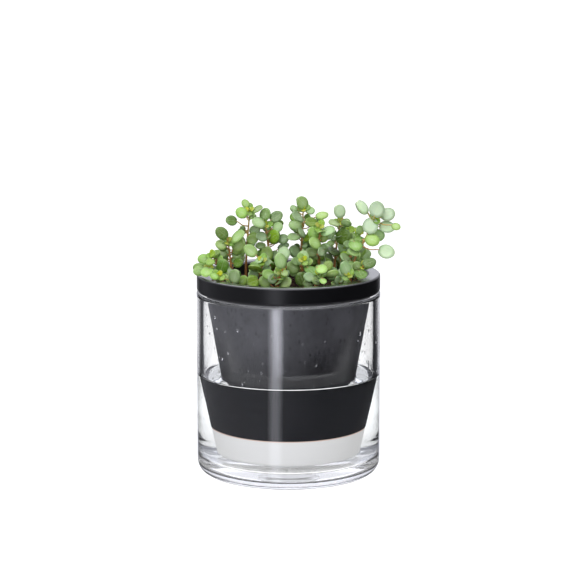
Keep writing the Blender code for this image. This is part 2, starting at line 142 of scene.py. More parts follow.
class Wire:
    def __init__(self, paint, socket):
        self.paint, self.socket = paint, socket

    def maths(self, operation, *others):
        return self.paint.node("Math", dict(enumerate((self, *others))), operation=operation)

    def __add__(self, other):
        return self.maths("ADD", other)

    def __mul__(self, other):
        return self.maths("MULTIPLY", other)

    def __sub__(self, other):
        return self.maths("SUBTRACT", other)

    def __rsub__(self, other):
        return self * -1 + other

    def __truediv__(self, other):
        return self.maths("DIVIDE", other)

    def __pow__(self, other):
        return self.maths("POWER", other)

    __radd__, __rmul__ = __add__, __mul__


class Paint:
    def __init__(self, name, **constants):
        self.material = bpy.data.materials.new(name)
        self.material.use_nodes = True
        self.tree = self.material.node_tree
        self.shader = self.tree.nodes["Principled BSDF"]
        self.output = self.tree.nodes["Material Output"]
        for key, value in constants.items():
            self.shader.inputs[key.replace("_", " ")].default_value = value

    def node(self, kind, inputs=None, out=0, stops=None, **settings):
        made = self.tree.nodes.new("ShaderNode" + kind)
        for key, value in settings.items():
            setattr(made, key, value)
        if stops:
            ramp = made.color_ramp.elements
            while len(ramp) < len(stops):
                ramp.new(0.5)
            for element, (place, colour) in zip(ramp, stops):
                element.position = place
                element.color = (*colour, 1.0) if hasattr(colour, "__len__") else (colour,) * 3 + (1.0,)
        for key, value in (inputs or {}).items():
            self.plug(value, made.inputs[key])
        return Wire(self, made.outputs[out])

    def wires(self, kind, inputs, *outs):
        made = self.node(kind, inputs).socket.node
        return [Wire(self, made.outputs[out]) for out in outs]

    def plug(self, value, socket):
        if isinstance(value, Wire):
            self.tree.links.new(value.socket, socket)
        elif hasattr(value, "__len__") and len(value) == 3 and socket.type == "RGBA":
            socket.default_value = (*value, 1.0)
        else:
            socket.default_value = value

    def set(self, **inputs):
        for key, value in inputs.items():
            self.plug(value, self.shader.inputs[key.replace("_", " ")])

    def place(self):
        return self.node("TexCoord", out="Object")

    def split(self, vector):
        return self.wires("SeparateXYZ", {0: vector}, "X", "Y", "Z")

    def noise(self, vector, scale, detail=3.0, roughness=0.5):
        return self.node("TexNoise", {"Vector": vector, "Scale": scale, "Detail": detail,
                                      "Roughness": roughness}, out="Fac")

    def stretch(self, vector, scale):
        return self.node("Mapping", {"Vector": vector, "Scale": scale})

    def between(self, value, low, high, toLow=0.0, toHigh=1.0):
        return self.node("MapRange", {"Value": value, "From Min": low, "From Max": high,
                                      "To Min": toLow, "To Max": toHigh}, clamp=True)

    def blend(self, factor, first, second):
        return self.node("Mix", {0: factor, 6: first, 7: second}, out=2, data_type="RGBA")

    def bump(self, height, strength, distance):
        return self.node("Bump", {"Height": height, "Strength": strength, "Distance": distance})

    def seen(self, *kinds):
        # 1 for a ray of one of these kinds
        ray, *others = self.wires("LightPath", {}, *(f"Is {kind} Ray" for kind in kinds))
        for other in others:
            ray = ray.maths("MAXIMUM", other)
        return ray

    def letLightThrough(self, body=None):
        # glass shuts no light out: what lights the things behind it passes as through a clear pane
        clear = self.node("BsdfTransparent", {"Color": studio["paneColour"]})
        surface = body or Wire(self, self.shader.outputs[0])
        for kind in ("Shadow", "Diffuse"):
            surface = self.node("MixShader", {0: self.seen(kind), 1: surface, 2: clear})
        self.plug(surface, self.output.inputs["Surface"])


def addFloor():
    floor = begin(bpy.ops.mesh.primitive_plane_add, size=studio["floorSize"])
    floor.name = "floor"
    paint = Paint("floorWhite", Roughness=1.0, Specular_IOR_Level=0.0)
    paint.set(Base_Color=studio["floorColour"], Emission_Color=(1, 1, 1))
    glow = paint.seen("Camera") * studio["floorGlow"]
    paint.set(Emission_Strength=glow + paint.seen("Transmission") * studio["floorGlowInGlass"])
    # reflections in the glass look past the floor at the room, but for the floor close by and behind
    x, y, _ = paint.split(paint.place())
    away = (x * x + y * y) ** 0.5
    mirrored = paint.node("LightPath", out="Glossy Depth").maths("MINIMUM", 1.0)
    mirrored = mirrored * paint.seen("Transmission")
    behind = paint.between(y, -0.10, 0.05, 0, studio["floorMirroredBehind"])
    far = paint.between(away - behind, *studio["floorMirrored"])
    gone = mirrored * far * paint.between(y / away, 0.97, 0.88)
    clear = paint.node("BsdfTransparent")
    surface = paint.node("MixShader", {0: gone, 1: Wire(paint, paint.shader.outputs[0]), 2: clear})
    paint.plug(surface, paint.output.inputs["Surface"])
    floor.data.materials.append(paint.material)
    floor.visible_glossy = False


def addTopLight():
    lamp = bpy.data.lights.new("topLight", "AREA")
    lamp.size = studio["topSize"]
    lamp.energy = studio["topPower"]
    holder = bpy.data.objects.new("topLight", lamp)
    bpy.context.scene.collection.objects.link(holder)
    away = outTo(studio["topTurn"], studio["topRise"])
    holder.location = Vector((0, 0, camera["target"][2])) + away * studio["topDistance"]
    holder.rotation_euler = away.to_track_quat("Z", "Y").to_euler()
    holder.visible_camera = False


def addStripLight():
    # a tall soft light, brightest along its middle
    strip = begin(bpy.ops.mesh.primitive_plane_add, size=1)
    strip.name = "stripLight"
    middle = Vector((0, 0, studio["stripMiddle"]))
    strip.location = outTo(studio["stripTurn"], 0) * studio["stripDistance"] + middle
    strip.rotation_euler = (math.radians(90), 0, math.radians(studio["stripTurn"]))
    strip.scale = (studio["stripWidth"], studio["stripHeight"], 1)
    paint = Paint("stripGlow", Base_Color=(0, 0, 0, 1), Specular_IOR_Level=0.0)
    across, up, _ = paint.split(paint.place())
    soft = paint.between(across.maths("ABSOLUTE"), 0.12, 0.5, 1, 0)
    top = paint.between(up, 0.32, 0.45) * paint.seen("Glossy", "Transmission") * studio["stripTop"] + 1
    paint.set(Emission_Color=studio["roomTint"], Emission_Strength=soft * top * studio["stripLight"])
    strip.data.materials.append(paint.material)
    strip.visible_camera = strip.visible_shadow = False


class Room(Paint):
    # the world, with the same nodes as a material
    def __init__(self, name):
        self.world = bpy.data.worlds.new(name)
        self.world.use_nodes = True
        self.tree = self.world.node_tree
        self.shader = next(node for node in self.tree.nodes if node.type == "BACKGROUND")


def addLights():
    room = Room("whiteRoom")
    bpy.context.scene.world = room.world
    across, along, up = room.split(room.node("TexCoord", out="Generated"))
    front = room.between(across, -0.6, 0.6, studio["roomLeft"], studio["roomRight"])
    beside = room.between(up, 0.0, 0.06, studio["roomSides"], studio["roomBack"])
    look = room.between(along + room.between(up, 0, 0.1, 0, 0.5), 0.68, 0.80, front, beside)
    look = room.between(along, 0.88, 0.97, look, studio["roomBack"])
    look = room.between(up, -0.62, -0.75, look, studio["roomBelow"])
    look = room.between(up, 0.35, 0.75, look, studio["roomTop"])
    strength = room.node("Mix", {0: room.seen("Glossy", "Transmission"), 2: studio["roomLight"], 3: look})
    strength = room.node("Mix", {0: room.seen("Camera"), 2: strength, 3: 1.0})
    colour = room.blend(room.seen("Glossy", "Transmission"), (1, 1, 1), studio["roomTint"])
    room.set(Color=colour, Strength=strength)
    addStripLight()
    addTopLight()


addCamera()
addFloor()
addLights()
bpy.context.scene.view_settings.view_transform = "Standard"
print("Studio: camera, floor and lights")


# Modelling with the edit-mode tools

def settle(piece, name, body, *replaced, slot):
    # names a finished piece and puts it on its body, in the place of its solid
    piece.name = piece.data.name = name
    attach(piece, body)
    if replaced:
        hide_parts(*replaced)


def newPiece(name, material, body, *replaced, slot):
    piece = bpy.context.object
    piece.data.materials.clear()
    piece.data.materials.append(material)
    settle(piece, name, body, *replaced, slot=slot)
    return piece


def dress(piece, material, test):
    # gives the faces whose middle passes a test another material
    piece.data.materials.append(material)
    for face in piece.data.polygons:
        if test(math.hypot(face.center.x, face.center.y), face.center.z, face.normal):
            face.material_index = len(piece.data.materials) - 1


def pick(test):
    # selects the vertices that pass a test on their place
    mesh = bmesh.from_edit_mesh(bpy.context.edit_object.data)
    for vertex in mesh.verts:
        vertex.select_set(bool(test(vertex.co)))
    mesh.select_flush_mode()
    bmesh.update_edit_mesh(bpy.context.edit_object.data)


turning = {
    "corner": 0.02 * mm,        # how near its place a profile's corner is found
    "large": 4.0 * mm,          # a rounding of this size has the finer steps
    "roundingSteps": (8, 16),
    "merge": 0.005 * mm,
    "sharp": 40,                # degrees
}


def near(radius, z):
    return lambda co: math.hypot(co.x - radius, co.y, co.z - z) < turning["corner"]


def lathe(corners, steps, closed=False):
    # draws a profile corner by corner, rounds its corners and spins it about the Z axis
    # a corner is (radius, height, rounding), and a rounding of 0 stays sharp
    piece = begin(bpy.ops.mesh.primitive_plane_add, size=mm)
    bpy.ops.object.mode_set(mode="EDIT")
    bpy.ops.mesh.select_all(action="SELECT")
    bpy.ops.mesh.merge(type="CENTER")
    bpy.ops.transform.translate(value=(corners[0][0], 0, corners[0][1]))
    for last, corner in zip(corners, corners[1:]):
        step = (corner[0] - last[0], 0, corner[1] - last[1])
        bpy.ops.mesh.extrude_region_move(TRANSFORM_OT_translate={"value": step})
    if closed:
        pick(lambda co: near(*corners[0][:2])(co) or near(*corners[-1][:2])(co))
        bpy.ops.mesh.edge_face_add()
    for radius, z, rounding in corners:
        if rounding:
            pick(near(radius, z))
            segments = turning["roundingSteps"][rounding >= turning["large"]]
            bpy.ops.mesh.bevel(affect="VERTICES", offset=rounding, segments=segments)
    bpy.ops.mesh.select_all(action="SELECT")
    bpy.ops.mesh.spin(steps=steps, angle=math.tau, axis=(0, 0, 1), center=(0, 0, 0))
    bpy.ops.mesh.select_all(action="SELECT")
    bpy.ops.mesh.remove_doubles(threshold=turning["merge"])
    bpy.ops.mesh.normals_make_consistent(inside=False)
    bpy.ops.object.mode_set(mode="OBJECT")
    bpy.ops.object.shade_smooth_by_angle(angle=math.radians(turning["sharp"]))
    evened = piece.modifiers.new("flatWalls", "WEIGHTED_NORMAL")     # a wall beside a rounding shades flat
    evened.keep_sharp = True
    bpy.ops.object.modifier_apply(modifier=evened.name)


# Glass vessel and the water's sizes

glass = {
    "radius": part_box("glass_vessel")[1].x,
    "height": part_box("glass_vessel")[1].z,
    "wall": 4.4 * mm,
    "base": 10.5 * mm,
    "footRound": 9.0 * mm,
    "floorRound": 6.0 * mm,
    "rimRound": 0.8 * mm,
    "rimInside": 3.0 * mm,
    "markRadius": 13.0 * mm,    # ground hollow under the base
    "markDepth": 1.5 * mm,
    "colour": (0.992, 0.996, 0.997),
    "wallColour": (0.980, 0.982, 0.988),
    "paintedEdgeShade": (0.45, 0.46, 0.50),   # painted shade where the wall is seen edge-on
    "markColour": (0.45, 0.46, 0.49),
    # painted glow on the rim's inner rounding
    "rimGlow": (0.38, 0.385, 0.41),
    "index": 1.5,
    "steps": 384,
}
glassBore = glass["radius"] - glass["wall"]
wallFoot = glass["base"] + glass["floorRound"]

water = {
    "level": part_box("water")[1].z,
    "intoGlass": 0.12 * mm,     # the water wets the glass, with no air between
    "climb": 1.6 * mm,          # how far it climbs up the glass, and over what width
    "climbWidth": 1.2 * mm,
    "climbOnPot": 0.7 * mm,
    "colour": (0.985, 0.992, 0.995),
    "index": 1.333,
    "kept": 0.51,               # share of its depth that is left when the pot is out
}
wetTop = water["level"] + water["climb"]


def glassPaint():
    paint = Paint("clearGlass", Roughness=0.0, IOR=glass["index"], Transmission_Weight=1.0)
    x, y, z = paint.split(paint.place())
    foot, top, inside = glass["footRound"], glass["height"], glass["rimInside"]
    wall = paint.between(z, foot - 1 * mm, foot + 2 * mm) * paint.between(z, top - 2 * mm, top - 3 * mm)
    # painted shade: the wall's colour darkens where it is seen edge-on
    edge = wall * paint.node("LayerWeight", {"Blend": 0.5}, out="Facing") ** 8
    tint = paint.blend(wall, glass["colour"], glass["wallColour"])
    paint.set(Base_Color=paint.blend(edge, tint, glass["paintedEdgeShade"]))
    # painted glow: an emission on the rim's inner rounding stands in for the light that runs up inside the
    # wall and comes out there
    rim = paint.between(z, top - 0.6 * inside, top - 0.3 * inside)
    radius, outside = (x * x + y * y) ** 0.5, glass["radius"]
    rim = rim * paint.between(radius, outside - 0.8 * mm, outside - 1.2 * mm)
    paint.set(Emission_Color=paint.blend(rim, (0, 0, 0), glass["rimGlow"]), Emission_Strength=1.0)
    waves = paint.noise(paint.stretch(paint.place(), (1, 1, 0.6)), 55.0, 1.0)
    paint.set(Normal=paint.bump(waves * wall, 0.02, 0.004))
    paint.letLightThrough()
    return paint.material


def bendPaint(name, index, colour):
    # clear as glass or water, for where the two touch: it mirrors only the rays that can't get out
    paint = Paint(name)
    bend = paint.node("BsdfRefraction", {"Color": colour, "Roughness": 0.0, "IOR": index})
    mirror = paint.node("BsdfAnisotropic", {"Color": colour, "Roughness": 0.0})
    kept = paint.between(paint.node("Fresnel", {"IOR": index}), 0.98, 1.0)
    paint.letLightThrough(paint.node("MixShader", {0: kept, 1: bend, 2: mirror}))
    return paint.material


def markPaint():
    paint = Paint("groundMark", Roughness=0.35, IOR=glass["index"], Transmission_Weight=1.0)
    paint.set(Base_Color=glass["markColour"])
    paint.letLightThrough()
    return paint.material


def addGlass():
    markRadius, markDepth = glass["markRadius"], glass["markDepth"]
    lathe([
        (0, markDepth, 0),
        (markRadius - markDepth, markDepth, 1.0 * mm),
        (markRadius, 0, 0.8 * mm),
        (glass["radius"] - glass["footRound"] - 1 * mm, 0, 0),
        (glass["radius"], 0, glass["footRound"]),
        (glass["radius"], glass["height"], glass["rimRound"]),
        (glassBore, glass["height"], glass["rimInside"]),
        (glassBore, wetTop, 0),
        (glassBore, wallFoot + 0.5 * mm, 0),
        (glassBore, glass["base"], glass["floorRound"]),
        (glassBore - glass["floorRound"] - 1 * mm, glass["base"], 0),
        (0, glass["base"], 0),
    ], glass["steps"])
    piece = newPiece("glassVessel", glassPaint(), "vessel", "glass_vessel", slot="clear_glass")
    dress(piece, bendPaint("wetGlass", glass["index"], glass["colour"]),
          lambda radius, z, normal: radius < glassBore + 0.1 * mm and wallFoot < z < wetTop)
    dress(piece, markPaint(), lambda radius, z, normal: radius < markRadius and z < 1.1 * markDepth)


addGlass()
print("Glass vessel")


# Sizes of the clay pot and its glaze

pot = {
    "lip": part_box("pot_glaze")[1].z,
    "flangeRadius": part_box("pot_glaze")[1].x,
    "flangeHeight": 11.6 * mm,
    "underRound": 2.5 * mm,
    "lipWidth": 8.3 * mm,
    "lipOuterRound": 1.4 * mm,
    "lipInnerRound": 2.0 * mm,
    "topRadius": 53.1 * mm,
    "footRadius": 34.0 * mm,
    "foot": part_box("clay_pot")[0].z,
    "floor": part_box("clay_pot")[0].z + 3.8 * mm,
    "wall": 3.4 * mm,
    "footRound": 1.8 * mm,
    "bareHeight": 17.0 * mm,
    "glaze": 0.6 * mm,
    "gap": 0.02 * mm,       # between the clay and the glaze on it
    "glazeInside": 10.0 * mm,
    "steps": 192,
}
flangeZ = pot["lip"] - pot["flangeHeight"]
mouthRadius = pot["flangeRadius"] - pot["lipWidth"]
bareZ = pot["foot"] + pot["bareHeight"]


def potSide(z):
    share = (z - pot["foot"]) / (flangeZ - pot["foot"])
    return pot["footRadius"] + (pot["topRadius"] - pot["footRadius"]) * share


def potBore(z):
    atFloor = potSide(pot["floor"]) - pot["wall"]
    return atFloor + (mouthRadius - atFloor) * (z - pot["floor"]) / (pot["lip"] - pot["floor"])


# Water

def waterPaint():
    paint = Paint("water", Roughness=0.0, IOR=water["index"], Transmission_Weight=1.0)
    paint.set(Base_Color=water["colour"])
    place = paint.place()
    _, _, z = paint.split(place)
    top = paint.between(z, water["level"] - 0.6 * mm, water["level"] - 0.2 * mm)
    ripples = paint.noise(paint.stretch(place, (1, 1, 0)), 120.0, 2.0)
    paint.set(Normal=paint.bump(ripples * top, 0.10, 0.002))
    paint.letLightThrough()
    return paint.material


def addWater():
    # its surface climbs the glass and the pot along a falling exponential curve
    bore, bottom = glassBore + water["intoGlass"], glass["base"] - water["intoGlass"]
    level, width = water["level"], water["climbWidth"]
    side = potSide(level)
    climb = [(bore - width * away, level + water["climb"] * math.exp(-away), 0)
             for away in (0.15, 0.35, 0.6, 0.9, 1.3, 1.8, 2.4, 3.2)]
    onPot = [(side + width * away, level + water["climbOnPot"] * math.exp(-away), 0)
             for away in (2.6, 1.8, 1.2, 0.8, 0.45, 0.2)]
    lathe([
        (0, bottom, 0),
        (bore - glass["floorRound"] - 1 * mm, bottom, 0),
        (bore, bottom, glass["floorRound"]),
        (bore, wallFoot + 0.5 * mm, 0),
        (bore, wetTop, 0),
        *climb,
        *onPot,
        (side - 0.5 * mm, level + water["climbOnPot"], 0),
        (side - 2 * mm, level, 0),
        (0, level, 0),
    ], glass["steps"])
    piece = newPiece("water", waterPaint(), "vessel", "water", slot="water")
    dress(piece, bendPaint("waterAtGlass", water["index"], water["colour"]),
          lambda radius, z, normal: abs(normal.z) < 0.05 and z > wallFoot)
    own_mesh(piece)
    return piece.data.materials[0]


drops = {
    "count": 160,
    "size": (0.30 * mm, 0.95 * mm),
    "flat": 0.45,               # how far a drop stands off the glass, as a share of its size
    "lowest": 2.5 * mm,         # over the water
    "highest": 2.0 * mm,        # under the rim
    "long": (1.0, 1.7),         # a drop's height over its width
    "atWaterline": 26,          # of them, larger and just over the water beside the pot
    "sides": (0.0, 0.0, math.pi),       # twice as many at the right as at the left
    "spread": (0.12, 0.16),     # middle and deviation in radians round from the side
    "rise": (-0.6 * mm, 2.5 * mm),
    "larger": 1.5,
}


def addDrops(material):
    # drops on the inside of the glass over the water, more of them low down and at the sides
    drop = begin(bpy.ops.mesh.primitive_ico_sphere_add, subdivisions=2, radius=1)
    bpy.ops.object.shade_smooth()
    low, high = water["level"] + drops["lowest"], glass["height"] - drops["highest"]
    rng = random.Random(5)
    laid = []
    for i in range(drops["count"]):
        size = drops["size"][0] + (drops["size"][1] - drops["size"][0]) * rng.random() ** 2
        turn, z = rng.uniform(0, math.tau), low + (high - low) * rng.random() ** 1.3
        if i < drops["atWaterline"]:
            turn = rng.choice(drops["sides"]) + rng.gauss(*drops["spread"])
            z = low + rng.uniform(*drops["rise"])
            size *= drops["larger"]
        made = copied(drop)
        made.location = (glassBore * math.cos(turn), glassBore * math.sin(turn), z)
        made.rotation_euler = (0, 0, turn)
        made.scale = (size * drops["flat"], size, size * rng.uniform(*drops["long"]))
        laid.append(made)
    bpy.data.objects.remove(drop)
    join(laid)
    newPiece("glassDrops", material, "vessel", slot="water")


addDrops(addWater())
print("Water and drops")


# Clay pot and its glaze

finishes = {
    "flange": ((0.0022, 0.0022, 0.0030), (0.0050, 0.0050, 0.0065)),
    "side": ((0.043, 0.043, 0.051), (0.082, 0.082, 0.095)),     # the glaze under the flange is paler
    "damp": (0.004, 0.004, 0.005),
    "darkNearWaterRise": 40.0 * mm,      # how far over the water the side darkens
    "speck": (0.006, 0.006, 0.008),
    "wet": (0.0088, 0.0088, 0.0120),
    "lipGloss": 0.75,
    "dullRise": 24.0 * mm,      # how far over the water the gloss is less
    "clay": ((0.89, 0.885, 0.88), (0.955, 0.95, 0.945)),
    "line": (0.85, 0.64, 0.55),     # where the glaze ends
}


def glazePaint():
    paint = Paint("charcoalGlaze", Specular_IOR_Level=0.34, Coat_Roughness=0.12, Coat_IOR=2.0)
    place = paint.place()
    _, _, z = paint.split(place)
    level, lip = water["level"], pot["lip"]
    clouds = paint.noise(place, 45.0, 4.0)
    streaks = paint.noise(paint.stretch(place, (1, 1, 0.12)), 260.0, 3.0)
    patches = paint.between(paint.noise(paint.stretch(place, (1, 1, 0.7)), 60.0, 5.0, 0.6), 0.42, 0.62)
    below = paint.between(z, flangeZ - 0.2 * mm, flangeZ - 0.6 * mm)
    wet = paint.between(z + streaks * 2 * mm, level + 2 * mm, level)
    # ragged specks, in some of the cells
    cells = {"Vector": paint.stretch(place, (1, 1, 0.55)), "Scale": 440.0}
    chance, away = paint.wires("TexVoronoi", cells, "Color", "Distance")
    ragged = away + paint.noise(place, 1600.0, 2.0) * 1.1
    specks = paint.between(chance, 0.67, 0.69) * paint.between(ragged, 0.88, 0.74)
    side = paint.blend(streaks * 0.5 + patches * 0.5, *finishes["side"])
    # the side's glaze is darker towards the water
    damp = paint.between(z, level, level + finishes["darkNearWaterRise"], 0.95, 0)
    side = paint.blend(damp, side, finishes["damp"])
    side = paint.blend(specks * 0.75, side, finishes["speck"])
    side = paint.blend(wet, side, finishes["wet"])
    paint.set(Base_Color=paint.blend(below, paint.blend(clouds, *finishes["flange"]), side))
    # the dry side's gloss is weaker edge-on and near the water, and the lip's top has its own
    edgeOn = paint.node("LayerWeight", {"Blend": 0.5}, out="Facing")
    dull = below * wet.maths("MAXIMUM", paint.between(edgeOn, 0.45, 0.75))
    paint.set(Roughness=paint.between(clouds, 0.3, 0.7, 0.28, 0.38) + dull * 0.5)
    gloss = below * (1 - wet) * (1 - specks) * paint.between(streaks, 0.3, 0.7, 0.75, 1)
    gloss = gloss * paint.between(edgeOn, 0.26, 0.56, 1, 0)
    gloss = gloss * paint.between(z, level, level + finishes["dullRise"], 0.25, 1)
    onLip = paint.between(z, lip - 0.30 * mm, lip - 0.05 * mm, 0, finishes["lipGloss"])
    paint.set(Coat_Weight=gloss + onLip)
    grain = paint.noise(place, 2200.0, 2.0)
    paint.set(Normal=paint.bump(grain, 0.05, 0.0004))
    return paint.material


def clayPaint():
    paint = Paint("bareClay", Roughness=0.85)
    place = paint.place()
    _, _, z = paint.split(place)
    turned = paint.noise(paint.stretch(place, (0.1, 0.1, 1)), 900.0, 2.0)
    grain = paint.noise(place, 1500.0, 3.0)
    line = paint.between(z, bareZ - 0.75 * mm, bareZ - 0.45 * mm)
    colour = paint.blend(turned * 0.5 + grain * 0.5, *finishes["clay"])
    paint.set(Base_Color=paint.blend(line, colour, finishes["line"]))
    paint.set(Normal=paint.bump(grain, 0.2, 0.0005))
    return paint.material


def addPot():
    insideZ = pot["lip"] - pot["glazeInside"]
    foot, floor, lip, flange, glaze = map(pot.get, ("foot", "floor", "lip", "flangeRadius", "glaze"))
    inner, outer, under = map(pot.get, ("lipInnerRound", "lipOuterRound", "underRound"))
    inset = glaze + pot["gap"]
    lathe([
        (0, floor, 0),
        (potBore(floor), floor, 1.5 * mm),
        (potBore(insideZ), insideZ, 0),
        (potBore(insideZ) + inset, insideZ, 0),
        (mouthRadius + inset, lip - inset, inner - inset),
        (flange - inset, lip - inset, outer - inset),
        (flange - inset, flangeZ + inset, under - inset),
        (potSide(flangeZ) - inset, flangeZ + inset, 0),
        (potSide(bareZ) - inset, bareZ, 0),
        (potSide(bareZ) - 0.15 * mm, bareZ, 0),
        (potSide(foot), foot, pot["footRound"]),
        (0, foot, 0),
    ], pot["steps"])
    newPiece("clayPot", clayPaint(), "potted_plant", "clay_pot", slot="bare_clay")
    lathe([
        (potBore(insideZ), insideZ, 0),
        (mouthRadius, lip, inner),
        (flange, lip, outer),
        (flange, flangeZ, under),
        (potSide(flangeZ), flangeZ, 0.3 * mm),
        (potSide(bareZ), bareZ, 0.25 * mm),
        (potSide(bareZ) - glaze, bareZ, 0),
        (potSide(flangeZ) - glaze, flangeZ + glaze, 0),
        (flange - glaze, flangeZ + glaze, under - glaze),
        (flange - glaze, lip - glaze, outer - glaze),
        (mouthRadius + glaze, lip - glaze, inner - glaze),
        (potBore(insideZ) + glaze, insideZ, 0),
    ], pot["steps"], closed=True)
    newPiece("potGlaze", glazePaint(), "potted_plant", "pot_glaze", slot="charcoal_glaze")


addPot()
print("Clay pot and glaze")


# Plants

# the solids' own rules, by which the leaves find the same places here
plantRules = {
    "layoutMouth": 50.5,        # the mouth's radius in units of the layout
    "stemRadius": 0.8 * mm,
    "stalkRadius": 0.35 * mm,
    "leafHalf": 0.45 * mm,
    "rootDepth": 9.0 * mm,
    "stemRise": 1.5 * mm,
    "stemSteps": 5,
    "bendLow": 0.40,            # shares of its length that lead a stem out of the soil and into its tip
    "bendHigh": 0.24,
    "leafGap": 0.5 * mm,
    "leafGrowth": 1.1,
    "leafForward": 3.0 * mm,    # how far in front of its stem a leaf stands, and by how much that varies
    "leafSpread": 2.5 * mm,
    "goldenAngle": 2.39996,     # radians
    "sightSlope": 0.18,         # how far the camera's line of sight falls with depth
    "giveWay": 1.0 * mm,        # steps that a leaf goes out of another's way: along that line, then up
    "giveWaySteps": 28,
    "giveWayLifts": 4,
    "leafUp": 0.60,
    "toFront": Vector((0, -0.8, 0)),
    "toBack": Vector((0, 0.7, 0)),
    "outward": 0.25,            # how far a leaf faces away from the pot's axis, and another way of its own
    "astray": 0.28,
    "square": 0.60,             # how far it faces square to its stalk
    "stalkIntoLeaf": 0.50,
}
layoutUnit = mouthRadius / plantRules["layoutMouth"]
soilZ = pot["lip"] - 7.5 * mm
soilCrown = 1.5 * mm
